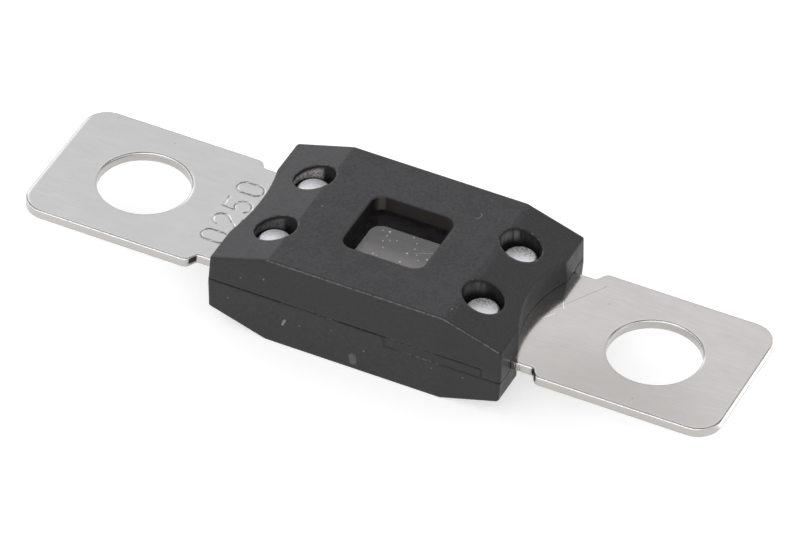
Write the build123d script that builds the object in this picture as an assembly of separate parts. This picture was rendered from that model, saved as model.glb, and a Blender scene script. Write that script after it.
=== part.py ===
# A bolt-down strip fuse: one stamped and plated metal strip with a bolt hole in each blade,
# clamped between two identical black mouldings that four rivets hold together.
# A clear pane under each window shows the narrow slanting link in the middle of the strip.
#
# Frame, in millimetres: the origin is the centre of the strip, X runs along the strip,
# Y across it and +Z points out of the upper window.
import os
from math import atan, cos, radians, tan

from build123d import *
from build123d import SkipClean

# The strip
hole_pitch = 50.8
overall_length = 68.7
blade_width = 15.95
blade_corner_radius = 2.4
bolt_hole_diameter = 8.7
strip_thickness = 0.93
strip_edge_chamfer = 0.07
bolt_hole_chamfer = 0.06

# The step from each blade to its narrower neck, and the four edges of the necks.
# The press leaves the left neck a little towards the far side.
step_outer_x = 17.22
step_inner_x = 16.65
step_outer_radius = 0.8
step_inner_radius = 0.3
left_neck_near = 6.85
left_neck_far = 7.1
right_neck_near = 7.0
right_neck_far = 6.85

# The link: a narrow band that slants across the gap between the two inner plates
link_gap = 11.8
link_width = 1.7
link_slope = 0.25
link_root_radius = 0.7
plate_corner_radius = 1.5

# The outer form of the closed housing
body_length = 28.96
body_width = 18.36
body_height = 9.2
top_flat_length = 17.3
end_height = 5.56
side_draft = 1.0
end_draft = 2.5
outer_edge_chamfer = 0.07
outer_corner_radius = 0.25

# The hollow at each end of the housing: how deep it is, and its radius
left_scallop_depth = 0.8
left_scallop_radius = 18.0
right_scallop_depth = 1.25
right_scallop_radius = 12.2

# The joint between the two mouldings. One side wall stands seam_height above the middle
# and the other stays as far below it; a tongue at one corner of the right end goes deeper.
seam_height = 0.32
tongue_start_x = 12.6
tongue_drop = 0.57
tongue_clearance = 0.04
seam_groove_height = 0.09
seam_groove_depth = 0.35
band_start_x = 3.0
band_height = 1.05
band_depth = 0.06

# Clearances
seat_clearance = 0.02
slot_clearance = 0.1
pane_clearance = 0.05

# The window, the ledge in its wall and the pane below it
window_length = 8.1
window_width = 7.95
window_corner_radius = 1.2
window_rim_chamfer = 0.1
ledge_depth = 1.55
ledge_width = 0.12
roof_thickness = 1.78
pane_size = 10.6
pane_thickness = 1.2
pane_corner_radius = 1.0
pane_chamfer = 0.12

# The chamber that the link crosses, and the cored pockets between the rivets
chamber_length = 13.4
chamber_width = 13.0
chamber_corner_radius = 1.0
core_centre_x = 10.0
core_length = 3.2
core_width = 3.4
core_roof = 1.5
core_corner_radius = 0.5

# The rivets and their holes
rivet_x = 10.27
rivet_y = 4.05
rivet_shank_diameter = 2.0
rivet_head_diameter = 3.05
rivet_head_thickness = 0.7
rivet_head_chamfer = 0.15
rivet_hole_clearance = 0.06
counterbore_diameter = 3.98
counterbore_taper = 2.0
counterbore_floor = 2.05

# Worked out from the sizes above
top_z = body_height / 2
shoulder_z = end_height / 2
crease_x = top_flat_length / 2
end_x = body_length / 2
side_y = body_width / 2
shoulder_x = end_x - shoulder_z * tan(radians(end_draft))
contact_start_x = (end_x + step_inner_x) / 2
roof_underside = top_z - roof_thickness
chamber_top = roof_underside - pane_thickness
seat_z = strip_thickness / 2 + seat_clearance
left_slot = max(left_neck_near, left_neck_far) + slot_clearance
right_slot = max(right_neck_near, right_neck_far) + slot_clearance
rivet_places = [(x, y) for x in (-rivet_x, rivet_x) for y in (-rivet_y, rivet_y)]
rivet_hole_diameter = rivet_shank_diameter + 2 * rivet_hole_clearance


def block(x_range, y_range, z_range):
    """A box given by its lowest and highest X, Y and Z."""
    low, high = zip(x_range, y_range, z_range)
    size = [b - a for a, b in zip(low, high)]
    return Pos(*low) * Box(*size, align=(Align.MIN, Align.MIN, Align.MIN))


def rounded_block(length, width, radius, z_low, z_high):
    """An upright block with rounded corners, centred on the Z axis."""
    outline = RectangleRounded(length, width, radius)
    return Pos(0, 0, z_low) * extrude(outline, z_high - z_low)


def fillet_at(sketch, places, radius):
    """Round the corners of a flat outline that lie at the given places."""
    corners = [v for v in sketch.vertices()
               if any((Vector(v.X, v.Y) - Vector(*p)).length < 1e-3 for p in places)]
    return fillet(corners, radius)


def fuse_element():
    """The strip: two blades with bolt holes, two necks, two inner plates and the link."""
    blade_end = overall_length / 2
    blade_edge = blade_width / 2
    plate_end = link_gap / 2
    link_rise = link_slope * plate_end
    link_half = link_width / 2 / cos(atan(link_slope))

    blade_corners = [(sx * blade_end, sy * blade_edge) for sx in (-1, 1) for sy in (-1, 1)]
    steps = []
    plate_corners = []
    for sx, near, far in ((-1, left_neck_near, left_neck_far), (1, right_neck_near, right_neck_far)):
        for sy, edge in ((-1, near), (1, far)):
            steps += [(sx * step_outer_x, sy * blade_edge), (sx * step_inner_x, sy * edge)]
            plate_corners.append((sx * plate_end, sy * edge))
    link_roots = [(-plate_end, -link_rise - link_half), (plate_end, link_rise - link_half),
                  (plate_end, link_rise + link_half), (-plate_end, -link_rise + link_half)]

    outline = Polyline(
        blade_corners[0], steps[0], steps[1], plate_corners[0], link_roots[0],
        link_roots[1], plate_corners[2], steps[5], steps[4], blade_corners[2],
        blade_corners[3], steps[6], steps[7], plate_corners[3], link_roots[2],
        link_roots[3], plate_corners[1], steps[3], steps[2], blade_corners[1],
        close=True)
    face = make_face(outline)
    face = fillet_at(face, blade_corners, blade_corner_radius)
    face = fillet_at(face, steps[0::2], step_outer_radius)
    face = fillet_at(face, steps[1::2], step_inner_radius)
    face = fillet_at(face, plate_corners, plate_corner_radius)
    face = fillet_at(face, link_roots, link_root_radius)
    strip = Pos(0, 0, -strip_thickness / 2) * extrude(face, strip_thickness)
    rims = strip.edges().filter_by(Plane.XY)
    strip = chamfer(rims, strip_edge_chamfer)

    for x in (-hole_pitch / 2, hole_pitch / 2):
        strip -= Pos(x, 0, 0) * Cylinder(bolt_hole_diameter / 2, 2 * strip_thickness)
    hole_rims = strip.edges().filter_by(GeomType.CIRCLE).filter_by(
        lambda e: abs(e.radius - bolt_hole_diameter / 2) < 1e-3)
    strip = chamfer(hole_rims, bolt_hole_chamfer)

    for x, y in rivet_places:
        strip -= Pos(x, y, 0) * Cylinder(rivet_hole_diameter / 2, 2 * strip_thickness)
    return divided_in_necks(strip)


def divided_in_necks(strip):
    """The same solid, with its faces divided across each neck, outside the housing.
    The contact face of each blade is then a face of its own."""
    across = (-blade_width, blade_width)
    upright = (-strip_thickness, strip_thickness)
    left, middle, right = [
        strip & block(along, across, upright)
        for along in ((-overall_length, -contact_start_x), (-contact_start_x, contact_start_x),
                      (contact_start_x, overall_length))]
    with SkipClean():
        return middle + left + right


def upper_envelope():
    """The outside of the housing above its middle, with its drafts, hollows and edge breaks."""
    profile = Polyline(
        (-end_x, 0), (-shoulder_x, shoulder_z), (-crease_x, top_z),
        (crease_x, top_z), (shoulder_x, shoulder_z), (end_x, 0), close=True)
    wedge = extrude(Plane.XZ * make_face(profile), body_width, both=True)
    drafted = extrude(Rectangle(body_length + 2, body_width), top_z, taper=side_draft)
    form = wedge & drafted
    for side, depth, radius in ((-1, left_scallop_depth, left_scallop_radius),
                                (1, right_scallop_depth, right_scallop_radius)):
        centre = side * (end_x - depth + radius)
        form -= Pos(centre, 0, top_z / 2) * Cylinder(radius, top_z + 1)

    upright = [e for e in form.edges()
               if abs(e.center().Z - shoulder_z / 2) < 0.2 and abs(e.center().Y) > side_y - 1]
    form = fillet(upright, outer_corner_radius)
    rims = [e for e in form.edges() if e.center().Z > shoulder_z / 2 and not is_crease(e)
            and e.bounding_box().max.Z > shoulder_z - 0.2 and not is_upright(e)]
    return chamfer(rims, outer_edge_chamfer)


def is_crease(edge):
    """True for the two straight lines where the flat top meets the sloping shoulders."""
    box = edge.bounding_box()
    return box.size.Y > body_width / 2 and box.size.X < 0.01


def is_upright(edge):
    """True for an edge that runs up an end wall."""
    box = edge.bounding_box()
    return box.size.Z > shoulder_z / 2 and box.size.Y < 1


def upper_region():
    """The space that belongs to the upper moulding, bounded below by the stepped joint."""
    far = 2 * body_length
    high = 2 * body_height
    middle = block((-far, 0), (-left_slot, left_slot), (seat_z, high))
    middle += block((0, far), (-right_slot, right_slot), (seat_z, high))
    near = block((-far, 0), (-far, -left_slot), (seam_height, high))
    near += block((0, far), (-far, -right_slot), (seam_height, high))
    near += block((tongue_start_x + tongue_clearance, far), (-far, -right_slot), (-tongue_drop, high))
    back = block((-far, 0), (left_slot, far), (-seam_height, high))
    back += block((0, tongue_start_x), (right_slot, far), (-seam_height, high))
    back += block((tongue_start_x - tongue_clearance, far), (right_slot, far), (tongue_drop, high))
    return middle + near + back


def seam_details():
    """Material taken off along the joint: the shadow groove and the shallow band."""
    inset = side_y - seam_groove_depth
    groove = block((-body_length, tongue_start_x), (-body_width, -inset),
                   (seam_height, seam_height + seam_groove_height))
    corner = block((tongue_start_x - tongue_clearance, body_length), (inset, body_width),
                   (tongue_drop, tongue_drop + seam_groove_height))
    corner += block((end_x - seam_groove_depth, body_length), (right_slot, body_width),
                    (tongue_drop, tongue_drop + seam_groove_height))
    band = block((band_start_x, tongue_start_x - tongue_clearance), (side_y - band_depth, body_width),
                 (-seam_height, band_height - seam_height))
    return groove + corner + band


def window_cut():
    """The window through the roof, with the small ledge in its wall."""
    ledge_z = top_z - ledge_depth
    upper = rounded_block(window_length, window_width, window_corner_radius, ledge_z, top_z + 1)
    lower = rounded_block(window_length - 2 * ledge_width, window_width - 2 * ledge_width,
                          window_corner_radius - ledge_width, roof_underside - 1, ledge_z)
    return upper + lower


def inner_cuts():
    """The pane's pocket, the chamber round the link and the cored pockets."""
    pocket = pane_size + 2 * pane_clearance
    cuts = rounded_block(pocket, pocket, pane_corner_radius, 0, roof_underside)
    cuts += Pos(0, 0, -body_height / 4) * rounded_block(
        chamber_length, chamber_width, chamber_corner_radius, 0, chamber_top + body_height / 4)
    slope = (top_z - shoulder_z) / (shoulder_x - crease_x)
    core_top = top_z - core_roof - slope * (core_centre_x + core_length / 2 - crease_x)
    for x in (-core_centre_x, core_centre_x):
        cuts += Pos(x, 0, 0) * rounded_block(core_length, core_width, core_corner_radius, 0, core_top)
    return cuts


def rivet_cuts():
    """A tapered counterbore and a shank hole at each rivet."""
    depth = top_z - counterbore_floor
    floor_radius = counterbore_diameter / 2 - depth * tan(radians(counterbore_taper))
    cuts = []
    for x, y in rivet_places:
        bore = Pos(x, y, counterbore_floor + depth / 2) * Cone(floor_radius, counterbore_diameter / 2, depth)
        shank = Pos(x, y, 0) * Cylinder(rivet_hole_diameter / 2, 2 * body_height)
        cuts += [bore, shank]
    return cuts


def bevel_window_rim(shell):
    """Break the edge where the window opens in the flat top."""
    rim = [e for e in shell.edges()
           if abs(e.center().Z - top_z) < 1e-3
           and abs(e.center().X) < window_length / 2 + 0.01
           and abs(e.center().Y) < window_width / 2 + 0.01]
    return chamfer(rim, window_rim_chamfer)


def housing():
    """One moulding, as the upper one lies."""
    upper = upper_envelope()
    shell = (upper + mirror(upper, Plane.XY)) & upper_region()
    shell -= seam_details()
    shell -= inner_cuts()
    shell -= window_cut()
    shell = bevel_window_rim(shell)
    for cut in rivet_cuts():
        shell -= cut
    return shell


def window_pane():
    """The clear pane under the upper window."""
    pane = rounded_block(pane_size, pane_size, pane_corner_radius, chamber_top, roof_underside)
    rims = pane.edges().filter_by(Plane.XY)
    return chamfer(rims, pane_chamfer)


def rivets():
    """Four rivets: a shank with an upset head at each end."""
    head_z = counterbore_floor
    solids = []
    for x, y in rivet_places:
        rivet = Cylinder(rivet_shank_diameter / 2, 2 * head_z)
        for side in (-1, 1):
            head = Pos(0, 0, side * (head_z + rivet_head_thickness / 2)) * Cylinder(
                rivet_head_diameter / 2, rivet_head_thickness)
            rivet += head
        tips = [e for e in rivet.edges() if abs(e.center().Z) > head_z + rivet_head_thickness - 1e-3]
        rivet = chamfer(tips, rivet_head_chamfer)
        solids.append(Pos(x, y, 0) * rivet)
    return Compound(children=solids)


def turned_over(piece):
    """The same piece turned half round the X axis, as the lower moulding is."""
    return Rot(180, 0, 0) * piece


def main():
    os.makedirs("parts", exist_ok=True)
    shell = housing()
    pane = window_pane()
    parts = {
        "fuse_element": fuse_element(),
        "upper_housing": shell,
        "lower_housing": turned_over(shell),
        "upper_window": pane,
        "lower_window": turned_over(pane),
        "rivets": rivets(),
    }
    for name, piece in parts.items():
        export_step(piece, f"parts/{name}.step")


main()
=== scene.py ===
# Looks for the bolt-down strip fuse: finishes, stamped digits, wear, floor, light and camera.
# Lengths are in millimetres and angles in degrees, unless a name ends in another unit.
#   A coat is a colour, and how strongly it covers what is under it.
#   A texture is the scale, detail and roughness of a noise.
#   Most other groups of two or four numbers are for a ramp: the two values that it runs
#   between, and then what it gives at each of them, where that isn't 0 and 1.
from math import cos, radians, sin

import bpy
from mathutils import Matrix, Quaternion, Vector


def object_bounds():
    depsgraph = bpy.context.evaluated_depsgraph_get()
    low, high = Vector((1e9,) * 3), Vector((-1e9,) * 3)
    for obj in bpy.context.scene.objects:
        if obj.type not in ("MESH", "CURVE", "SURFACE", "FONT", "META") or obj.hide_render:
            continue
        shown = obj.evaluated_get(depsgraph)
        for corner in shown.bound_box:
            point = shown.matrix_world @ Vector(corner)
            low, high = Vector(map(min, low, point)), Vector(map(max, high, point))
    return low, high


MM = 0.001
WHITE = (1.0, 1.0, 1.0)
BLACK = (0.0, 0.0, 0.0)
MOST_OF_A_NOISE = (0.3, 0.7)

# The camera, as fitted to the photo
PHOTO_WIDTH_PX = 800
FOCAL_PX = 7747.2
CAMERA_PLACE = (210.74, -490.551, 449.745)
CAMERA_AZIMUTH = 23.216
CAMERA_ELEVATION = 40.075
CAMERA_ROLL = 2.911
SENSOR_WIDTH = 36.0
CAMERA_CLIP_M = (0.01, 20.0)

# The floor. Past the part's right end it glows brighter in reflections.
FLOOR_SIZE = 6000.0
FLOOR_COLOUR = (0.6, 0.6, 0.6)
FLOOR_GLOW = 0.6
FLOOR_GAP = 0.03
END_GLOW = 1.2
END_GLOW_X = (35.0, 36.0)
END_GLOW_Y = (-3.0, -1.0)

# The light. Its heights, sides and fronts are parts of the direction that a ray looks in.
LOW_LIGHT = 0.88
HIGH_LIGHT = 1.2
HIGH_LIGHT_HEIGHT = (0.66, 0.76)
ZENITH_LIGHT = 0.25
ZENITH_HEIGHT = (0.86, 0.96)
FRONT_LIGHT = 0.9
FRONT_START = (-0.4, -0.55)
FRONT_FOOT_HEIGHT = (0.45, 0.6)
FRONT_HEAD_HEIGHT = (0.92, 0.8)
LEFT_LIGHT_SHARE = 0.1
RIGHT_SHADE = 0.85
RIGHT_SIDE = (0.0, 0.7)
SKY_COLOUR = (0.985, 0.985, 1.01)
SOFTBOX_PLACE = (-520.0, 370.0, 330.0)
SOFTBOX_SIZE = 420.0
SOFTBOX_POWER_W = 0.42

# The strip's plating
STRIP_TOP_Z = 0.465
GRAIN_STRETCH = (0.3, 3.0, 1.0)
GRAIN_TEXTURE = (1.6, 3.0, 0.6)
GRAIN_SHARE = 0.4
CLOUD_STRETCH = (0.6, 1.0, 1.0)
CLOUD_TEXTURE = (0.35, 3.0, 0.55)
CLOUD_SHARE = 0.6
SPECKLE_TEXTURE = (6.0, 2.0, 0.6)
RAGGED_STRIP_TEXTURE = (1.3, 2.0, 0.5)
LEFT_PLATING = ((0.618, 0.609, 0.595), (0.645, 0.637, 0.622))
RIGHT_PLATING = ((0.628, 0.603, 0.578), (0.675, 0.654, 0.628))
RIGHT_PLATING_X = (-5.0, 15.0)
PLATING_ROUGHNESS = (0.25, 0.75, 0.1, 0.17)
PLATING_RELIEF = 0.004
GRAIN_RELIEF_SHARE = 0.5
SPECKLE_RELIEF_SHARE = 0.2

# Painted shade on the right blade, darkest around the middle of its near edge. Its place is one in
# the cloud's stretched space.
RIGHT_BLADE_SHADE_PLACE = (14.1, -7.0, 0.0)
RIGHT_BLADE_SHADE_REACH = (9.0, 1.0)
RIGHT_BLADE_SHADE_COAT = ((0.52, 0.49, 0.465), 0.75)

# The stamped digits on the left neck, with painted shade in their grooves. They read across the
# strip, with their tops to the left.
STAMP_DIGITS = "0250"
STAMP_BASELINE_X = -15.15
STAMP_CENTRES_Y = (-3.7, -1.25, 1.2, 3.75)
STAMP_HEIGHT = 2.6
STAMP_WIDTH = 1.5
STAMP_STROKE = 0.1
STAMP_SOFTNESS = 0.3
STAMP_WANDER = 0.25
STAMP_DEPTH = 0.045
STAMPED_Z = (STRIP_TOP_Z - 0.1, STRIP_TOP_Z - 0.05)
STAMP_GAPS = (0.42, 0.55, 0.15, 1.0)
STAMP_GROOVE_SHADE_COAT = ((0.13, 0.12, 0.11), 0.8)

# The shapes of the digits 2 and 5: arcs in degrees, and lengths as parts of the digit's
# half width, or of its height for the stem's foot
TWO_ARC_MIDDLE = 70
TWO_ARC_HALF = 105
FIVE_TOP_LEFT = 0.8
FIVE_STEM_FOOT = 0.56
FIVE_BOWL = 1.05
FIVE_BOWL_SHIFT = 0.1
FIVE_ARC_MIDDLE = -5
FIVE_ARC_HALF = 145

# Marks on the strip's upper face
LONG_SCRATCH = ((13.3, -1.3), (15.35, 1.92), (17.96, 6.4))
LONG_SCRATCH_RADIUS = 0.028
LONG_SCRATCH_COAT = ((0.2, 0.18, 0.16), 0.6)
BRIGHT_SCRATCHES = (((15.2, 2.9), (15.55, 2.1), (15.76, 1.78)), ((14.5, -0.35), (15.3, 0.75)))
BRIGHT_SCRATCH_RADIUS = 0.04
BRIGHT_SCRATCH_COAT = ((1.0, 0.97, 0.93), 0.9)
STRIP_PITS = ((-25.5, 6.43), (-31.74, 7.39), (19.12, 4.27), (26.13, -6.6), (26.02, 7.54),
              (22.4, -3.1))
STRIP_PIT_RADIUS = 0.07
STRIP_PIT_COAT = ((0.22, 0.2, 0.18), 0.5)
SLOT_GRIT_PLACE = (14.7, -7.0, 0.1)
SLOT_GRIT_RADIUS = 0.5
SLOT_GRIT_GAPS = (0.45, 0.55)
SLOT_GRIT_COAT = ((0.2, 0.15, 0.11), 0.8)

# The strip's edges: sheared walls, and a painted highlight on the near edges with a painted dark
# reflection line above it. A tilt is how far a rounded edge has turned away from level, from 0 to
# 1.
STRIP_EDGE_ROUND = 0.45
STRIP_EDGE_SAMPLES = 16
WALL_FACING = (0.4, 0.2)
WALL_COAT = ((0.46, 0.44, 0.41), 0.75)
WALL_STRETCH = (1.0, 1.0, 0.2)
WALL_TEXTURE = (4.5, 3.0, 0.65)
WALL_RELIEF = 0.03
EDGE_DARK_REFLECTION_SIDE = (0.15, -1.0, 0.0)
EDGE_DARK_REFLECTION_FACING = (0.03, 0.12)
EDGE_DARK_REFLECTION_FIRST_TILT = (0.0, 0.06)
EDGE_DARK_REFLECTION_LAST_TILT = (0.25, 0.17)
EDGE_DARK_REFLECTION_COAT = ((0.06, 0.055, 0.05), 0.95)
EDGE_HIGHLIGHT_FIRST_TILT = (0.17, 0.25)
EDGE_HIGHLIGHT_LAST_TILT = (0.6, 0.35)
EDGE_HIGHLIGHT_FACING = (-0.15, -0.35)
EDGE_HIGHLIGHT_COAT = ((1.0, 1.0, 0.98), 1.0)

# The black mouldings
TOP_Z = 4.6
SHOULDER_X = 8.65
SHOULDER_SLOPE = 0.316
FINE_TEXTURE = (4.0, 3.0, 0.6)
FINE_SHARE = 0.55
PATCH_TEXTURE = (0.5, 3.0, 0.55)
PATCH_SHARE = 0.45
RAGGED_TEXTURE = (2.2, 3.0, 0.7)
MOULDING_TONES = ((0.019, 0.0185, 0.0198), (0.036, 0.0352, 0.0372))
MOULDING_TONE_RANGE = (0.4, 0.6)
MOULDING_ROUGHNESS = (*MOST_OF_A_NOISE, 0.42, 0.52)
MOULDING_SPECULAR = 0.42
MOULDING_RELIEF = 0.025
MOULDING_EDGE_ROUND = 0.36
MOULDING_EDGE_SAMPLES = 8
RUBBED_EDGE_TURN = (0.03, 0.15)
RUBBED_EDGE_GAPS = (0.4, 0.65, 0.05, 0.35)
RUBBED_EDGE_COAT = ((0.11, 0.11, 0.112), 1.0)
# Painted shade on the right shoulder
RIGHT_SHOULDER_X = (7.5, 9.5)
RIGHT_SHOULDER_Z = (4.52, 4.4)
RIGHT_SHOULDER_SHADE_COAT = ((0.012, 0.0115, 0.011), 0.5)

# The housing's near side, painted darker as shade and darker still on the upper moulding, and its
# joint
NEAR_SIDE_Y = (-8.7, -8.9)
NEAR_SIDE_SHADE_COAT = ((0.016, 0.0155, 0.015), 0.45)
UPPER_SIDE_Z = (0.3, 0.5)
UPPER_SIDE_COAT = ((0.014, 0.0135, 0.013), 0.45)
SEAM_SOFTNESS = 0.5
SEAM_DARK_RUNS = (((-14.3, 0.37), (-7.3, 0.37)), ((-1.5, 0.37), (3.2, 0.37)),
                  ((8.2, 0.35), (12.4, 0.35)), ((14.0, -0.57), (14.4, -0.57)))
SEAM_DARK_RADIUS = 0.14
SEAM_DARK_GAPS = (0.3, 0.5, 0.5, 1.0)
SEAM_DARK_COAT = ((0.001, 0.001, 0.001), 1.0)
SEAM_LIGHT_RUNS = (((-3.5, 0.34), (-1.5, 0.34)), ((3.2, 0.34), (7.8, 0.34)),
                   ((4.6, -0.7), (8.4, -0.7)))
SEAM_LIGHT_RADIUS = 0.06
SEAM_LIGHT_GAPS = (0.45, 0.62)
SEAM_LIGHT_COAT = ((0.13, 0.13, 0.13), 0.8)
WORN_EDGE_Y = -9.08
WORN_EDGE = ((-8.7, 4.58), (8.65, 4.58), (14.1, 2.86))
WORN_EDGE_RADIUS = 0.075
WORN_EDGE_SOFTNESS = 0.4
WORN_EDGE_GAPS = (0.35, 0.6, 0.2, 1.0)
WORN_EDGE_COAT = ((0.15, 0.15, 0.15), 0.85)
SIDE_SPECKS = ((-11.22, 1.66), (-8.95, 2.33), (-6.9, -1.75), (-5.25, -1.68), (-12.4, -1.16),
               (7.74, -1.44), (-2.1, -0.92), (1.14, -2.1), (10.88, -1.34))
SIDE_SPECK_RADIUS = 0.09
SIDE_SPECK_GAPS = (0.35, 0.55, 0.0, 0.55)
SIDE_CRUMB = ((-6.7, -1.6), (-6.95, -2.2))
SIDE_CRUMB_RADIUS = 0.1
SIDE_SPECK_COAT = ((0.34, 0.33, 0.28), 0.8)
SIDE_SCUFF = ((0.05, -3.2), (0.1, -3.75))
SIDE_SCUFF_RADIUS = 0.36
SIDE_SCUFF_SOFTNESS = 0.7
SIDE_SCUFF_GAPS = (0.35, 0.55, 0.5, 1.0)
SIDE_SCUFF_COAT = ((0.135, 0.118, 0.122), 0.85)

# Marks on the housing's flat top
TOP_SPECKS = ((8.72, -7.41), (9.0, -6.95), (-7.62, 0.1), (-9.98, -2.04))
TOP_SPECK_RADIUS = 0.12
TOP_ARC = ((5.36, 4.95), (5.6, 5.1), (5.72, 5.35), (5.68, 5.65), (5.52, 5.85))
TOP_ARC_RADIUS = 0.06
TOP_MARK_GAPS = (0.3, 0.5, 0.3, 1.0)
TOP_MARK_COAT = ((0.16, 0.16, 0.17), 0.6)

# The counterbores, with their walls painted dark as shade. Depths are below the rim, and the X of a
# mark is from the bore's centre.
RIVET_PLACES = ((-10.27, 4.05), (-10.27, -4.05), (10.27, 4.05), (10.27, -4.05))
COUNTERBORE_RADIUS = 1.99
COUNTERBORE_MARGIN = 0.02
BORE_RIM_OUTSET = 0.04
BORE_RIM_RADIUS = 0.06
BORE_RIM_GAPS = (0.5, 0.66)
BORE_RIM_COAT = ((0.16, 0.16, 0.165), 0.7)
BORE_SHADE_DEPTH = (0.04, 0.12)
LEFT_BORE_SHADE_COAT = ((0.004, 0.004, 0.004), 0.85)
RIGHT_BORE_SHADE_COAT = ((0.008, 0.008, 0.008), 0.8)
WHITENED_X = (0.25, -0.35)
WHITENED_DEPTH = (0.25, 0.65)
WHITENED_Z = (2.3, 2.6)
WHITENED_TEXTURE = (5.0, 3.0, 0.7)
WHITENED_GAPS = (0.42, 0.58, 0.4, 1.0)
FAR_WHITENED_COAT = ((0.62, 0.58, 0.58), 0.95)
NEAR_WHITENED_COAT = ((0.62, 0.58, 0.58), 0.3)
STREAKS_X = (-0.3, -1.0)
STREAKS_ELSEWHERE = 0.12
STREAKS_FIRST_DEPTH = (0.1, 0.6)
STREAKS_LAST_DEPTH = (1.8, 0.9)
STREAKS_STRETCH = (1.0, 1.0, 0.1)
STREAKS_TEXTURE = (1.8, 2.0, 0.6)
STREAKS_GAPS = (0.35, 0.65)
FAR_STREAKS_COAT = ((0.22, 0.22, 0.215), 0.75)
NEAR_STREAKS_COAT = ((0.22, 0.22, 0.215), 0.45)

# The window's walls, with a painted highlight on the left corners, and painted shade on the left
# walls and below the ledge. A facing is the X part of a wall's own direction.
WINDOW_HALF = 4.05
WINDOW_REACH = (WINDOW_HALF + 0.2, WINDOW_HALF + 0.1)
WINDOW_WALL_Z = (TOP_Z - 0.02, TOP_Z - 0.12)
WINDOW_EDGE_ROUND = 0.05
WINDOW_ROUGHNESS_TIMES = 1.8
WINDOW_WALL_COAT = ((0.027, 0.0225, 0.018), 1.0)
WINDOW_CORNER_FACING = 0.45
WINDOW_CORNER_SPREAD = 0.25
WINDOW_CORNER_HIGHLIGHT_COAT = ((0.1, 0.087, 0.075), 0.8)
WINDOW_LEFT_FACING = (0.75, 0.95)
WINDOW_LEDGE_Z = 3.05
WINDOW_LEDGE_MARGIN = 0.04
WINDOW_SHADE_COAT = (BLACK, 1.0)

# The panes, and the dust, a paler near part and scratches on the upper one
PANE_TOP_Z = 2.82
PANE_COLOUR = (0.14, 0.12, 0.12)
PANE_IOR = 1.57
PANE_ROUGHNESS = 0.02
PANE_DUST_COLOUR = (0.86, 0.77, 0.76)
PANE_FILM_TEXTURE = (0.8, 3.0, 0.6)
PANE_FILM = (*MOST_OF_A_NOISE, 0.006, 0.02)
PANE_NEAR_PATCH_X = (-3.2, -2.8)
PANE_NEAR_PATCH_Y = (0.0, -1.7)
PANE_NEAR_PATCH = 0.09
PANE_MARK_SOFTNESS = 0.3
PANE_MOTES = ((-1.52, 1.62), (-1.6, -1.82), (1.11, -0.39), (3.09, -0.38), (1.06, -1.76))
PANE_MOTE_RADIUS = 0.1
PANE_MOTE_COVER = 0.6
PANE_DUST = ((-2.17, 1.52), (-1.52, 0.99), (-1.54, 0.18), (-0.99, 0.48), (-0.43, 0.77),
             (-1.16, -0.64), (0.75, 1.87), (1.35, 1.23), (1.51, 0.45), (3.33, 1.01),
             (2.43, -0.88), (-1.2, -1.9), (2.0, -0.2), (3.4, 0.45))
PANE_DUST_RADIUS = 0.075
PANE_DUST_COVER = 0.4
PANE_SCRATCH = ((1.7, -0.05), (3.77, 0.92))
PANE_SCRATCH_RADIUS = 0.04
PANE_SCRATCH_COVER = 0.22
PANE_RUB = ((-0.9, 2.42), (-0.42, 3.95))
PANE_RUB_RADIUS = 0.12
PANE_RUB_COVER = 0.02

# The rivets
RIVET_TONES = ((0.98, 0.985, 1.0), (0.4, 0.37, 0.35))
RIVET_METALLIC = 0.4
RIVET_ROUGHNESS = 0.4
RIVET_PIT_TEXTURE = (4.0, 4.0, 0.7)
RIVET_PIT_COVER = (0.56, 0.44, 0.2, 1.0)
RIVET_PIT_RELIEF = 0.07
ROUGH_SIDE_Y = (-0.6, 1.3)
ROUGH_SIDE_X = (-1.0, 1.0, 0.3, 1.0)
HEAD_DOME_SLOPE = 0.16


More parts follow.
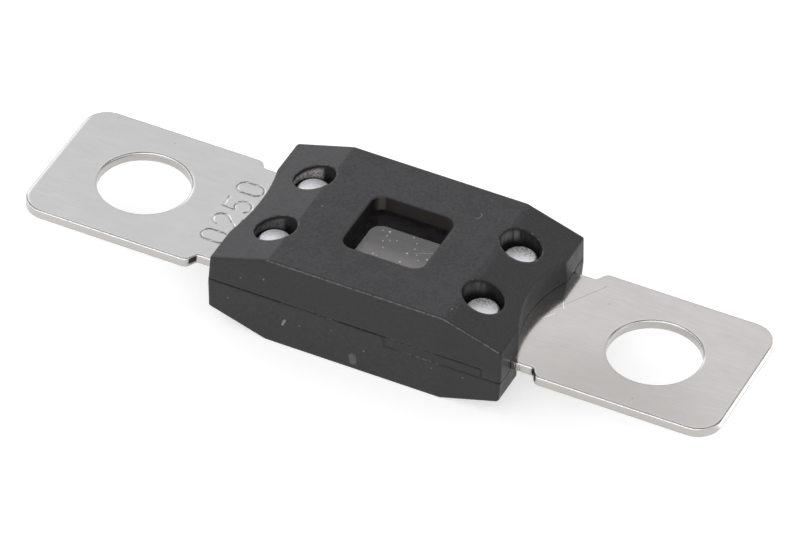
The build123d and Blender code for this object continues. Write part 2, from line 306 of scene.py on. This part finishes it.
class Nodes:
    """Short names for the shader nodes that the finishes use. Sockets go in and come out."""

    def __init__(self, tree):
        self.tree = tree

    def add(self, kind, **settings):
        node = self.tree.nodes.new(kind)
        for name, value in settings.items():
            setattr(node, name, value)
        return node

    def put(self, value, socket):
        """Link an input to another node's output, or set its value. A colour is three numbers."""
        if isinstance(value, bpy.types.NodeSocket):
            self.tree.links.new(value, socket)
        else:
            socket.default_value = (*value, 1) if socket.type == "RGBA" else value

    def put_all(self, values, sockets):
        for value, socket in zip(values, sockets):
            self.put(value, socket)

    def source(self, kind, output):
        """One output of a node that needs no input."""
        return self.add(kind).outputs[output]

    # Numbers

    def math(self, operation, *values, clamp=False):
        node = self.add("ShaderNodeMath", operation=operation, use_clamp=clamp)
        self.put_all(values, node.inputs)
        return node.outputs[0]

    def chain(self, operation, values):
        """The operation over any number of values, from first to last."""
        total = values[0]
        for value in values[1:]:
            total = self.math(operation, total, value)
        return total

    def product(self, *values):
        return self.chain("MULTIPLY", values)

    def nearest(self, distances):
        return self.chain("MINIMUM", distances)

    def apart(self, first, second):
        """How far apart two numbers are."""
        return self.math("ABSOLUTE", self.math("SUBTRACT", first, second))

    def blend(self, first, first_share, second, second_share):
        """The sum of two numbers, each times its share."""
        return self.math("ADD", self.product(first, first_share),
                         self.product(second, second_share))

    def ramp(self, value, low, high, to_low=0.0, to_high=1.0):
        """value from low..high, taken smoothly to to_low..to_high."""
        node = self.add("ShaderNodeMapRange", interpolation_type="SMOOTHSTEP")
        names = ("Value", "From Min", "From Max", "To Min", "To Max")
        self.put_all((value, low, high, to_low, to_high), [node.inputs[name] for name in names])
        return node.outputs[0]

    def noise(self, point, scale, detail, roughness):
        node = self.add("ShaderNodeTexNoise")
        names = ("Vector", "Scale", "Detail", "Roughness")
        self.put_all((point, scale, detail, roughness), [node.inputs[name] for name in names])
        return node.outputs["Fac"]

    # Places and distances

    def vector(self, operation, *values):
        node = self.add("ShaderNodeVectorMath", operation=operation)
        scalar = operation in ("DOT_PRODUCT", "LENGTH", "DISTANCE")
        sockets = [node.inputs[0], node.inputs["Scale"]] if operation == "SCALE" else node.inputs
        self.put_all(values, sockets)
        return node.outputs["Value" if scalar else "Vector"]

    def place(self):
        """The point being shaded, in millimetres in the row frame."""
        return self.vector("SCALE", self.source("ShaderNodeTexCoord", "Object"), 1 / MM)

    def stretch(self, point, factors):
        return self.vector("MULTIPLY", point, factors)

    def split(self, vector):
        """The X, Y and Z of a vector."""
        node = self.add("ShaderNodeSeparateXYZ")
        self.put(vector, node.inputs[0])
        return node.outputs

    def line_distance(self, point, start, end):
        """How far point is from the straight line between two places."""
        along = Vector(end) - Vector(start)
        from_start = self.vector("SUBTRACT", point, start)
        share = self.math("MULTIPLY", self.vector("DOT_PRODUCT", from_start, along),
                          1 / along.length_squared, clamp=True)
        return self.vector("DISTANCE", from_start, self.vector("SCALE", along, share))

    def path_distance(self, point, corners):
        """How far point is from a path of straight runs."""
        return self.nearest([self.line_distance(point, start, end)
                             for start, end in zip(corners, corners[1:])])

    def dots_distance(self, point, centres):
        """How far point is from the nearest of some places."""
        return self.nearest([self.vector("DISTANCE", point, centre) for centre in centres])

    def arc_distance(self, point, centre, radius, middle_deg, half_deg):
        """About how far point is from an arc, given by its middle direction and half its angle.

        Past the arc's ends the distance grows twice as fast.
        """
        from_centre = self.vector("SUBTRACT", point, centre)
        reach = self.vector("LENGTH", from_centre)
        middle = (cos(radians(middle_deg)), sin(radians(middle_deg)), 0)
        facing = self.vector("DOT_PRODUCT", from_centre, middle)
        past_end = self.math("MAXIMUM", 0.0, self.math(
            "SUBTRACT", self.product(reach, cos(radians(half_deg))), facing))
        return self.math("ADD", self.apart(reach, radius), self.product(past_end, 2.0))

    def spread(self, distance, radius, soft=0.6):
        """1 within a mark of this radius, falling smoothly to 0 just outside it."""
        return self.ramp(distance, radius * soft, radius * (2 - soft), 1.0, 0.0)

    # Colours and surfaces

    def mix(self, factor, first, second):
        node = self.add("ShaderNodeMix", data_type="RGBA")
        self.put_all((factor, first, second), (node.inputs[0], node.inputs[6], node.inputs[7]))
        return node.outputs[2]

    def paint(self, tone, coat, *covers):
        """tone with a coat laid over it, as far as all the covers let it."""
        colour, strength = coat
        return self.mix(self.product(strength, *covers), tone, colour)

    def rounded_normal(self, radius_m, samples):
        node = self.add("ShaderNodeBevel", samples=samples)
        self.put(radius_m, node.inputs["Radius"])
        return node.outputs[0]

    def bump(self, height, distance, normal=None):
        """The normal of a surface whose relief is the height times the distance."""
        node = self.add("ShaderNodeBump")
        self.put(height, node.inputs["Height"])
        self.put(distance * MM, node.inputs["Distance"])
        if normal is not None:
            self.put(normal, node.inputs["Normal"])
        return node.outputs[0]

    def principled(self, **inputs):
        node = self.add("ShaderNodeBsdfPrincipled")
        for name, value in inputs.items():
            self.put(value, node.inputs[name.replace("_", " ")])
        return node.outputs[0]

    def diffuse(self, colour):
        node = self.add("ShaderNodeBsdfDiffuse")
        self.put(colour, node.inputs["Color"])
        return node.outputs[0]

    def mix_shaders(self, factor, first, second):
        node = self.add("ShaderNodeMixShader")
        self.put_all((factor, first, second), node.inputs)
        return node.outputs[0]


def level(places, z):
    """Places in the plane of X and Y, at one height."""
    return [(x, y, z) for x, y in places]


def upright(places, y):
    """Places in the plane of X and Z, at one Y."""
    return [(x, y, z) for x, z in places]


def new_material(name):
    """An empty node material, with its node helper and its output's surface socket."""
    material = bpy.data.materials.new(name)
    material.use_nodes = True
    material.node_tree.nodes.clear()
    nodes = Nodes(material.node_tree)
    output = nodes.add("ShaderNodeOutputMaterial")
    return material, nodes, output.inputs["Surface"]


def glyph_distance(nodes, point, digit, width, height):
    """How far point is from the strokes of a 0, 2 or 5, with its foot at the origin and Y up."""
    radius = width / 2
    if digit == "0":
        spine = nodes.line_distance(point, (0, radius, 0), (0, height - radius, 0))
        return nodes.apart(spine, radius)
    if digit == "2":
        turn = radians(TWO_ARC_MIDDLE - TWO_ARC_HALF)
        arc_centre = (0, height - radius, 0)
        arc_end = (radius * cos(turn), height - radius + radius * sin(turn), 0)
        return nodes.nearest([
            nodes.arc_distance(point, arc_centre, radius, TWO_ARC_MIDDLE, TWO_ARC_HALF),
            nodes.line_distance(point, arc_end, (-radius, 0, 0)),
            nodes.line_distance(point, (-radius, 0, 0), (radius, 0, 0))])
    bowl = radius * FIVE_BOWL
    bowl_centre = (-radius * FIVE_BOWL_SHIFT, bowl, 0)
    top_left = (-radius * FIVE_TOP_LEFT, height, 0)
    return nodes.nearest([
        nodes.line_distance(point, top_left, (radius, height, 0)),
        nodes.line_distance(point, top_left, (-radius, height * FIVE_STEM_FOOT, 0)),
        nodes.arc_distance(point, bowl_centre, bowl, FIVE_ARC_MIDDLE, FIVE_ARC_HALF)])


def stamp_distance(nodes, axes):
    """How far the shaded point is from the strokes of the stamped number."""
    strokes = []
    for digit, centre_y in zip(STAMP_DIGITS, STAMP_CENTRES_Y):
        local = nodes.add("ShaderNodeCombineXYZ")
        nodes.put(nodes.math("SUBTRACT", axes[1], centre_y), local.inputs[0])
        nodes.put(nodes.math("SUBTRACT", STAMP_BASELINE_X, axes[0]), local.inputs[1])
        strokes.append(glyph_distance(nodes, local.outputs[0], digit, STAMP_WIDTH, STAMP_HEIGHT))
    return nodes.nearest(strokes)


def plated_metal():
    """Satin plating with a fine grain, the stamped number and marks, painted shade on the right
    blade and in the grooves, and painted edge highlights with dark reflection lines.
    """
    material, nodes, surface = new_material("plated_metal")
    place = nodes.place()
    axes = nodes.split(place)
    grain = nodes.noise(nodes.stretch(place, GRAIN_STRETCH), *GRAIN_TEXTURE)
    cloud = nodes.noise(nodes.stretch(place, CLOUD_STRETCH), *CLOUD_TEXTURE)
    speckle = nodes.noise(place, *SPECKLE_TEXTURE)
    ragged = nodes.noise(place, *RAGGED_STRIP_TEXTURE)

    wander = nodes.product(nodes.math("SUBTRACT", ragged, 0.5), STAMP_WANDER)
    groove = nodes.product(nodes.ramp(axes[2], *STAMPED_Z), nodes.spread(
        nodes.math("ADD", stamp_distance(nodes, axes), wander), STAMP_STROKE, STAMP_SOFTNESS))

    shade = nodes.blend(nodes.ramp(grain, *MOST_OF_A_NOISE), GRAIN_SHARE,
                        nodes.ramp(cloud, *MOST_OF_A_NOISE), CLOUD_SHARE)
    tone = nodes.mix(nodes.ramp(axes[0], *RIGHT_PLATING_X),
                     nodes.mix(shade, *LEFT_PLATING), nodes.mix(shade, *RIGHT_PLATING))
    # Painted shade on the right blade
    right_blade_shade_distance = nodes.vector("DISTANCE", nodes.stretch(place, CLOUD_STRETCH), RIGHT_BLADE_SHADE_PLACE)
    tone = nodes.paint(tone, RIGHT_BLADE_SHADE_COAT, nodes.ramp(right_blade_shade_distance, *RIGHT_BLADE_SHADE_REACH))
    # Painted shade in the stamped grooves, broken by the ragged noise
    tone = nodes.paint(tone, STAMP_GROOVE_SHADE_COAT, groove, nodes.ramp(ragged, *STAMP_GAPS))
    tone = marked_strip(nodes, place, speckle, tone)

    rounded = nodes.rounded_normal(STRIP_EDGE_ROUND * MM, STRIP_EDGE_SAMPLES)
    facing = nodes.split(nodes.source("ShaderNodeNewGeometry", "Normal"))
    on_wall = nodes.ramp(nodes.math("ABSOLUTE", facing[2]), *WALL_FACING)
    # Painted highlight and dark reflection line on the strip's edges
    tone = walls_and_painted_edge_light(nodes, rounded, on_wall, tone)

    relief = nodes.blend(grain, GRAIN_RELIEF_SHARE, speckle, SPECKLE_RELIEF_SHARE)
    normal = nodes.bump(relief, PLATING_RELIEF, rounded)
    normal = nodes.bump(nodes.math("SUBTRACT", 1.0, groove), STAMP_DEPTH, normal)
    torn = nodes.noise(nodes.stretch(place, WALL_STRETCH), *WALL_TEXTURE)
    normal = nodes.bump(nodes.product(torn, on_wall), WALL_RELIEF, normal)
    nodes.put(nodes.principled(Base_Color=tone, Metallic=1.0, Normal=normal,
                               Roughness=nodes.ramp(grain, *PLATING_ROUGHNESS)), surface)
    return material


def marked_strip(nodes, place, speckle, tone):
    """A long scratch, two bright ones, a few pits and the grit at the slot."""
    scratch = nodes.spread(nodes.path_distance(place, level(LONG_SCRATCH, STRIP_TOP_Z)),
                           LONG_SCRATCH_RADIUS)
    bright = nodes.spread(nodes.nearest([
        nodes.path_distance(place, level(line, STRIP_TOP_Z)) for line in BRIGHT_SCRATCHES]),
        BRIGHT_SCRATCH_RADIUS)
    pits = nodes.spread(nodes.dots_distance(place, level(STRIP_PITS, STRIP_TOP_Z)),
                        STRIP_PIT_RADIUS)
    grit = nodes.spread(nodes.vector("DISTANCE", place, SLOT_GRIT_PLACE), SLOT_GRIT_RADIUS)
    tone = nodes.paint(tone, LONG_SCRATCH_COAT, scratch)
    tone = nodes.paint(tone, STRIP_PIT_COAT, pits)
    tone = nodes.paint(tone, SLOT_GRIT_COAT, grit, nodes.ramp(speckle, *SLOT_GRIT_GAPS))
    return nodes.paint(tone, BRIGHT_SCRATCH_COAT, bright)


def walls_and_painted_edge_light(nodes, rounded, on_wall, tone):
    """The strip's sheared walls, and a painted highlight on its near edges with a painted dark
    reflection line above them.
    """
    rounded_axes = nodes.split(rounded)
    tilt = nodes.math("SUBTRACT", 1.0, nodes.math("ABSOLUTE", rounded_axes[2]))
    tone = nodes.paint(tone, WALL_COAT, on_wall)
    nearward = nodes.vector("DOT_PRODUCT", rounded, EDGE_DARK_REFLECTION_SIDE)
    tone = nodes.paint(tone, EDGE_DARK_REFLECTION_COAT, nodes.ramp(nearward, *EDGE_DARK_REFLECTION_FACING),
                       nodes.ramp(tilt, *EDGE_DARK_REFLECTION_FIRST_TILT),
                       nodes.ramp(tilt, *EDGE_DARK_REFLECTION_LAST_TILT))
    return nodes.paint(tone, EDGE_HIGHLIGHT_COAT, nodes.ramp(tilt, *EDGE_HIGHLIGHT_FIRST_TILT),
                       nodes.ramp(tilt, *EDGE_HIGHLIGHT_LAST_TILT),
                       nodes.ramp(rounded_axes[1], *EDGE_HIGHLIGHT_FACING))


def black_moulding():
    """Black moulded plastic with a fine texture, worn edges, specks and scuffed counterbores, with
    painted shade on the right shoulder, near side, counterbore walls and window walls, and a
    painted highlight in the window's left corners.
    """
    material, nodes, surface = new_material("black_moulding")
    place = nodes.place()
    axes = nodes.split(place)
    fine = nodes.noise(place, *FINE_TEXTURE)
    patch = nodes.noise(place, *PATCH_TEXTURE)
    ragged = nodes.noise(place, *RAGGED_TEXTURE)

    in_window = nodes.ramp(nodes.math("MAXIMUM", nodes.math("ABSOLUTE", axes[0]),
                                      nodes.math("ABSOLUTE", axes[1])), *WINDOW_REACH)
    on_window_wall = nodes.product(
        in_window, nodes.ramp(nodes.math("ABSOLUTE", axes[2]), *WINDOW_WALL_Z))
    edge_round_m = nodes.ramp(in_window, 0.0, 1.0, MOULDING_EDGE_ROUND * MM, WINDOW_EDGE_ROUND * MM)
    rounded = nodes.rounded_normal(edge_round_m, MOULDING_EDGE_SAMPLES)
    flat_normal = nodes.source("ShaderNodeNewGeometry", "Normal")
    turn = nodes.math("SUBTRACT", 1.0, nodes.vector("DOT_PRODUCT", rounded, flat_normal))

    shade = nodes.blend(fine, FINE_SHARE, patch, PATCH_SHARE)
    tone = nodes.mix(nodes.ramp(shade, *MOULDING_TONE_RANGE), *MOULDING_TONES)
    tone = nodes.paint(tone, RUBBED_EDGE_COAT, nodes.ramp(turn, *RUBBED_EDGE_TURN),
                       nodes.ramp(ragged, *RUBBED_EDGE_GAPS))
    # Painted shade on the right shoulder
    tone = nodes.paint(tone, RIGHT_SHOULDER_SHADE_COAT, nodes.ramp(axes[0], *RIGHT_SHOULDER_X),
                       nodes.ramp(axes[2], *RIGHT_SHOULDER_Z))
    tone = marked_side(nodes, place, axes, ragged, tone)
    tone = marked_top(nodes, place, ragged, tone)
    tone = scuffed_bores(nodes, place, axes, ragged, tone)
    tone = window_walls(nodes, axes, nodes.split(flat_normal), on_window_wall, tone)
    roughness = nodes.product(nodes.ramp(patch, *MOULDING_ROUGHNESS),
                              nodes.ramp(on_window_wall, 0.0, 1.0, 1.0, WINDOW_ROUGHNESS_TIMES))
    nodes.put(nodes.principled(Base_Color=tone, Roughness=roughness,
                               Specular_IOR_Level=MOULDING_SPECULAR,
                               Normal=nodes.bump(fine, MOULDING_RELIEF, rounded)), surface)
    return material


def marked_side(nodes, place, axes, ragged, tone):
    """The near side's painted shade, dark joint, worn upper edge, pale specks, crumb and scuff."""
    flat = nodes.stretch(place, (1, 0, 1))
    on_side = nodes.ramp(axes[1], *NEAR_SIDE_Y)

    def path(corners):
        return nodes.path_distance(flat, upright(corners, 0))

    # Painted shade on the near side
    tone = nodes.paint(tone, NEAR_SIDE_SHADE_COAT, on_side)
    tone = nodes.paint(tone, UPPER_SIDE_COAT, on_side, nodes.ramp(axes[2], *UPPER_SIDE_Z))
    joint = nodes.spread(nodes.nearest([path(run) for run in SEAM_DARK_RUNS]),
                         SEAM_DARK_RADIUS, SEAM_SOFTNESS)
    tone = nodes.paint(tone, SEAM_DARK_COAT, joint, on_side, nodes.ramp(ragged, *SEAM_DARK_GAPS))
    frayed = nodes.spread(nodes.nearest([path(run) for run in SEAM_LIGHT_RUNS]),
                          SEAM_LIGHT_RADIUS, SEAM_SOFTNESS)
    tone = nodes.paint(tone, SEAM_LIGHT_COAT, frayed, on_side,
                       nodes.ramp(ragged, *SEAM_LIGHT_GAPS))
    worn = nodes.spread(nodes.path_distance(place, upright(WORN_EDGE, WORN_EDGE_Y)),
                        WORN_EDGE_RADIUS, WORN_EDGE_SOFTNESS)
    tone = nodes.paint(tone, WORN_EDGE_COAT, worn, nodes.ramp(ragged, *WORN_EDGE_GAPS))
    specks = nodes.spread(nodes.dots_distance(flat, upright(SIDE_SPECKS, 0)), SIDE_SPECK_RADIUS)
    specks = nodes.product(specks, nodes.ramp(ragged, *SIDE_SPECK_GAPS))
    crumb = nodes.spread(path(SIDE_CRUMB), SIDE_CRUMB_RADIUS)
    tone = nodes.paint(tone, SIDE_SPECK_COAT, nodes.math("MAXIMUM", specks, crumb), on_side)
    scuff = nodes.spread(path(SIDE_SCUFF), SIDE_SCUFF_RADIUS, SIDE_SCUFF_SOFTNESS)
    return nodes.paint(tone, SIDE_SCUFF_COAT, scuff, on_side,
                       nodes.ramp(ragged, *SIDE_SCUFF_GAPS))


def marked_top(nodes, place, ragged, tone):
    """A few pale specks and one small curved mark on the flat top."""
    specks = nodes.spread(nodes.dots_distance(place, level(TOP_SPECKS, TOP_Z)), TOP_SPECK_RADIUS)
    curve = nodes.spread(nodes.path_distance(place, level(TOP_ARC, TOP_Z)), TOP_ARC_RADIUS)
    return nodes.paint(tone, TOP_MARK_COAT, nodes.math("MAXIMUM", specks, curve),
                       nodes.ramp(ragged, *TOP_MARK_GAPS))


def scuffed_bores(nodes, place, axes, ragged, tone):
    """The counterbores: chipped rims, walls painted dark as shade, whitened on the left, streaked
    on the right.
    """
    flat = nodes.stretch(place, (1, 1, 0))
    height = nodes.math("ABSOLUTE", axes[2])
    past_top = nodes.math("MAXIMUM", 0.0, nodes.math(
        "SUBTRACT", nodes.math("ABSOLUTE", axes[0]), SHOULDER_X))
    rim_height = nodes.math("SUBTRACT", TOP_Z, nodes.product(past_top, SHOULDER_SLOPE))
    depth = nodes.math("SUBTRACT", rim_height, height)
    bore_shade = nodes.ramp(depth, *BORE_SHADE_DEPTH)
    whitened = nodes.product(nodes.ramp(depth, *WHITENED_DEPTH), nodes.ramp(height, *WHITENED_Z))
    crumbs = nodes.ramp(nodes.noise(place, *WHITENED_TEXTURE), *WHITENED_GAPS)
    streaked = nodes.product(nodes.ramp(depth, *STREAKS_FIRST_DEPTH),
                             nodes.ramp(depth, *STREAKS_LAST_DEPTH))
    streaks = nodes.ramp(nodes.noise(nodes.stretch(place, STREAKS_STRETCH), *STREAKS_TEXTURE),
                         *STREAKS_GAPS)
    for x, y in RIVET_PLACES:
        reach = nodes.vector("DISTANCE", flat, (x, y, 0))
        rim = nodes.spread(nodes.apart(reach, COUNTERBORE_RADIUS + BORE_RIM_OUTSET),
                           BORE_RIM_RADIUS)
        tone = nodes.paint(tone, BORE_RIM_COAT, rim, nodes.ramp(ragged, *BORE_RIM_GAPS))
        wall = nodes.ramp(reach, COUNTERBORE_RADIUS + COUNTERBORE_MARGIN,
                          COUNTERBORE_RADIUS - COUNTERBORE_MARGIN)
        if x < 0:
            # Painted shade on the bore's wall
            tone = nodes.paint(tone, LEFT_BORE_SHADE_COAT, wall, bore_shade)
            leftward = nodes.ramp(axes[0], x + WHITENED_X[0], x + WHITENED_X[1])
            tone = nodes.paint(tone, FAR_WHITENED_COAT if y > 0 else NEAR_WHITENED_COAT,
                               wall, leftward, whitened, crumbs)
        else:
            # Painted shade on the bore's wall
            tone = nodes.paint(tone, RIGHT_BORE_SHADE_COAT, wall, bore_shade)
            leftward = nodes.ramp(axes[0], x + STREAKS_X[0], x + STREAKS_X[1],
                                  STREAKS_ELSEWHERE, 1.0)
            tone = nodes.paint(tone, FAR_STREAKS_COAT if y > 0 else NEAR_STREAKS_COAT,
                               wall, streaked, streaks, leftward)
    return tone


def window_walls(nodes, axes, facing, on_wall, tone):
    """The window's smooth, brownish walls, with a painted highlight on the left corners, and
    painted shade on the left walls and below the ledge.
    """
    height = nodes.math("ABSOLUTE", axes[2])
    tone = nodes.paint(tone, WINDOW_WALL_COAT, on_wall)
    corner = nodes.spread(nodes.apart(facing[0], WINDOW_CORNER_FACING), WINDOW_CORNER_SPREAD)
    # Painted highlight on the left corners
    tone = nodes.paint(tone, WINDOW_CORNER_HIGHLIGHT_COAT, on_wall, corner)
    # Painted shade on the left walls
    tone = nodes.paint(tone, WINDOW_SHADE_COAT, on_wall,
                       nodes.ramp(facing[0], *WINDOW_LEFT_FACING))
    # Painted shadow below the ledge
    return nodes.paint(tone, WINDOW_SHADE_COAT, on_wall, nodes.ramp(
        height, WINDOW_LEDGE_Z + WINDOW_LEDGE_MARGIN, WINDOW_LEDGE_Z))


def clear_pane():
    """A glossy, smoky plastic pane with dust, a paler near part, a scratch and a rub.

    Lamps shine through it.
    """
    material, nodes, surface = new_material("clear_pane")
    place = nodes.place()
    axes = nodes.split(place)
    glass = nodes.principled(
        Base_Color=PANE_COLOUR, Transmission_Weight=1.0, Roughness=PANE_ROUGHNESS, IOR=PANE_IOR,
        Coat_Weight=1.0, Coat_IOR=PANE_IOR, Coat_Roughness=PANE_ROUGHNESS)
    lit = nodes.mix_shaders(nodes.source("ShaderNodeLightPath", "Is Shadow Ray"), glass,
                            nodes.source("ShaderNodeBsdfTransparent", 0))

    film = nodes.ramp(nodes.noise(place, *PANE_FILM_TEXTURE), *PANE_FILM)
    # More of the dust colour over the pane's near part, except at its far left
    near_patch = nodes.product(nodes.ramp(axes[1], *PANE_NEAR_PATCH_Y), nodes.ramp(axes[0], *PANE_NEAR_PATCH_X))
    cover = nodes.math("ADD", film, nodes.product(near_patch, PANE_NEAR_PATCH))
    for measure, places, radius, mark_cover in (
            (nodes.dots_distance, PANE_MOTES, PANE_MOTE_RADIUS, PANE_MOTE_COVER),
            (nodes.dots_distance, PANE_DUST, PANE_DUST_RADIUS, PANE_DUST_COVER),
            (nodes.path_distance, PANE_SCRATCH, PANE_SCRATCH_RADIUS, PANE_SCRATCH_COVER),
            (nodes.path_distance, PANE_RUB, PANE_RUB_RADIUS, PANE_RUB_COVER)):
        mark = nodes.spread(measure(place, level(places, PANE_TOP_Z)), radius, PANE_MARK_SOFTNESS)
        cover = nodes.math("MAXIMUM", cover, nodes.product(mark, mark_cover))
    nodes.put(nodes.mix_shaders(cover, lit, nodes.diffuse(PANE_DUST_COLOUR)), surface)
    return material


def rivet_metal():
    """Bare metal, pitted, with heads that the press has left slightly domed."""
    material, nodes, surface = new_material("rivet_metal")
    place = nodes.place()
    axes = nodes.split(place)
    pits = nodes.noise(place, *RIVET_PIT_TEXTURE)
    centre_y = nodes.product(nodes.math("SIGN", axes[1]), RIVET_PLACES[0][1])
    across = nodes.math("SUBTRACT", axes[1], centre_y)
    rough_side = nodes.product(nodes.ramp(across, *ROUGH_SIDE_Y),
                               nodes.ramp(axes[0], *ROUGH_SIDE_X))
    tone = nodes.mix(nodes.product(rough_side, nodes.ramp(pits, *RIVET_PIT_COVER)), *RIVET_TONES)
    reach = nodes.dots_distance(nodes.stretch(place, (1, 1, 0)), level(RIVET_PLACES, 0))
    dome = nodes.product(nodes.product(reach, reach), -HEAD_DOME_SLOPE / 2)
    normal = nodes.bump(pits, RIVET_PIT_RELIEF, nodes.bump(dome, 1.0))
    nodes.put(nodes.principled(Base_Color=tone, Metallic=RIVET_METALLIC,
                               Roughness=RIVET_ROUGHNESS, Normal=normal), surface)
    return material


def dress(frame):
    """Give each CAD node its finish."""
    plated, moulding, pane, rivet = plated_metal(), black_moulding(), clear_pane(), rivet_metal()
    finishes = {
        "fuse_element": plated, "upper_housing": moulding, "lower_housing": moulding,
        "upper_window": pane, "lower_window": pane, "rivets": rivet,
    }
    for name, material in finishes.items():
        mesh = frame["nodes"][name].data
        mesh.materials.clear()
        mesh.materials.append(material)


def make_floor():
    """A pale floor that keeps the shadow and looks white to the camera, metal and glass.

    A view from below passes through it, so the underside can be looked at.
    """
    bpy.ops.mesh.primitive_plane_add(size=FLOOR_SIZE * MM)
    floor = bpy.context.object
    floor.name = "floor"
    floor.location.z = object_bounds()[0].z - FLOOR_GAP * MM
    material, nodes, surface = new_material("floor")
    axes = nodes.split(nodes.place())
    past_end = nodes.product(nodes.ramp(axes[0], *END_GLOW_X, 0.0, END_GLOW),
                             nodes.ramp(axes[1], *END_GLOW_Y))
    glow = nodes.add("ShaderNodeEmission")
    nodes.put(nodes.math(
        "ADD", nodes.product(seen_ray(nodes), FLOOR_GLOW),
        nodes.product(nodes.source("ShaderNodeLightPath", "Is Glossy Ray"), past_end)),
        glow.inputs["Strength"])
    both = nodes.add("ShaderNodeAddShader")
    nodes.put_all((nodes.diffuse(FLOOR_COLOUR), glow.outputs[0]), both.inputs)
    gone_through = nodes.math(
        "GREATER_THAN", nodes.source("ShaderNodeLightPath", "Transparent Depth"), 0.5)
    from_below = nodes.math(
        "MAXIMUM", nodes.source("ShaderNodeNewGeometry", "Backfacing"), gone_through)
    nodes.put(nodes.mix_shaders(from_below, both.outputs[0],
                                nodes.source("ShaderNodeBsdfTransparent", 0)), surface)
    floor.data.materials.append(material)


def seen_ray(nodes):
    """1 for a ray from the camera, or one that metal or glass sends on."""
    path = nodes.add("ShaderNodeLightPath").outputs
    return nodes.chain("MAXIMUM", [
        path["Is Camera Ray"], path["Is Glossy Ray"], path["Is Transmission Ray"]])


def make_studio():
    """The world: pale, dark right overhead, bright in front and dimmer on the right."""
    world = bpy.data.worlds.new("studio")
    bpy.context.scene.world = world
    world.use_nodes = True
    world.node_tree.nodes.clear()
    nodes = Nodes(world.node_tree)
    towards = nodes.split(nodes.source("ShaderNodeTexCoord", "Generated"))
    light = nodes.ramp(towards[2], *HIGH_LIGHT_HEIGHT, LOW_LIGHT, HIGH_LIGHT)
    light = nodes.product(light, nodes.ramp(
        towards[2], *ZENITH_HEIGHT, 1.0, ZENITH_LIGHT / HIGH_LIGHT))
    front = nodes.product(nodes.ramp(towards[1], *FRONT_START), nodes.product(
        nodes.ramp(towards[2], *FRONT_FOOT_HEIGHT), nodes.ramp(towards[2], *FRONT_HEAD_HEIGHT)))
    light = nodes.math("ADD", light, nodes.product(front, FRONT_LIGHT))
    light = nodes.product(light, nodes.ramp(towards[0], *RIGHT_SIDE, 1.0, RIGHT_SHADE))
    light = nodes.math("SUBTRACT", light, nodes.product(towards[0], LEFT_LIGHT_SHARE))
    camera = nodes.source("ShaderNodeLightPath", "Is Camera Ray")
    background = nodes.add("ShaderNodeBackground")
    nodes.put(nodes.mix(camera, SKY_COLOUR, WHITE), background.inputs["Color"])
    nodes.put(nodes.math("MAXIMUM", light, camera), background.inputs["Strength"])
    output = nodes.add("ShaderNodeOutputWorld")
    nodes.put(background.outputs[0], output.inputs["Surface"])


def make_softbox():
    """One large lamp, far off on the left, turned to the origin."""
    lamp = bpy.data.lights.new("softbox", "AREA")
    lamp.size = SOFTBOX_SIZE * MM
    lamp.energy = SOFTBOX_POWER_W
    softbox = bpy.data.objects.new("softbox", lamp)
    softbox.location = Vector(SOFTBOX_PLACE) * MM
    softbox.rotation_mode = "QUATERNION"
    softbox.rotation_quaternion = (-softbox.location).to_track_quat("-Z", "Y")
    bpy.context.scene.collection.objects.link(softbox)


def make_camera():
    """The camera that took the photo."""
    data = bpy.data.cameras.new("camera")
    data.sensor_width = SENSOR_WIDTH
    data.lens = SENSOR_WIDTH * FOCAL_PX / PHOTO_WIDTH_PX
    data.clip_start, data.clip_end = CAMERA_CLIP_M
    camera = bpy.data.objects.new("camera", data)
    camera.location = Vector(CAMERA_PLACE) * MM
    azimuth, elevation = radians(CAMERA_AZIMUTH), radians(CAMERA_ELEVATION)
    forward = Vector((-sin(azimuth) * cos(elevation), cos(azimuth) * cos(elevation),
                      -sin(elevation)))
    camera.rotation_mode = "QUATERNION"
    camera.rotation_quaternion = (forward.to_track_quat("-Z", "Y")
                                  @ Quaternion((0, 0, 1), radians(CAMERA_ROLL)))
    bpy.context.scene.collection.objects.link(camera)
    bpy.context.scene.camera = camera


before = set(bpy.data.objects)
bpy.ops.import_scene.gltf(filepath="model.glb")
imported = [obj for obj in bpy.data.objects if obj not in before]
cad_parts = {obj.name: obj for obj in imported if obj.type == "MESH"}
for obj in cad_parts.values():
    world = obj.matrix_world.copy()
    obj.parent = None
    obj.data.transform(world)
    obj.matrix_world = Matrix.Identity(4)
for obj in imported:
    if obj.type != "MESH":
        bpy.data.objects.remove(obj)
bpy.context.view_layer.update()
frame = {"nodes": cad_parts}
dress(frame)
make_floor()
make_studio()
make_softbox()
make_camera()
bpy.context.scene.view_settings.view_transform = "Standard"
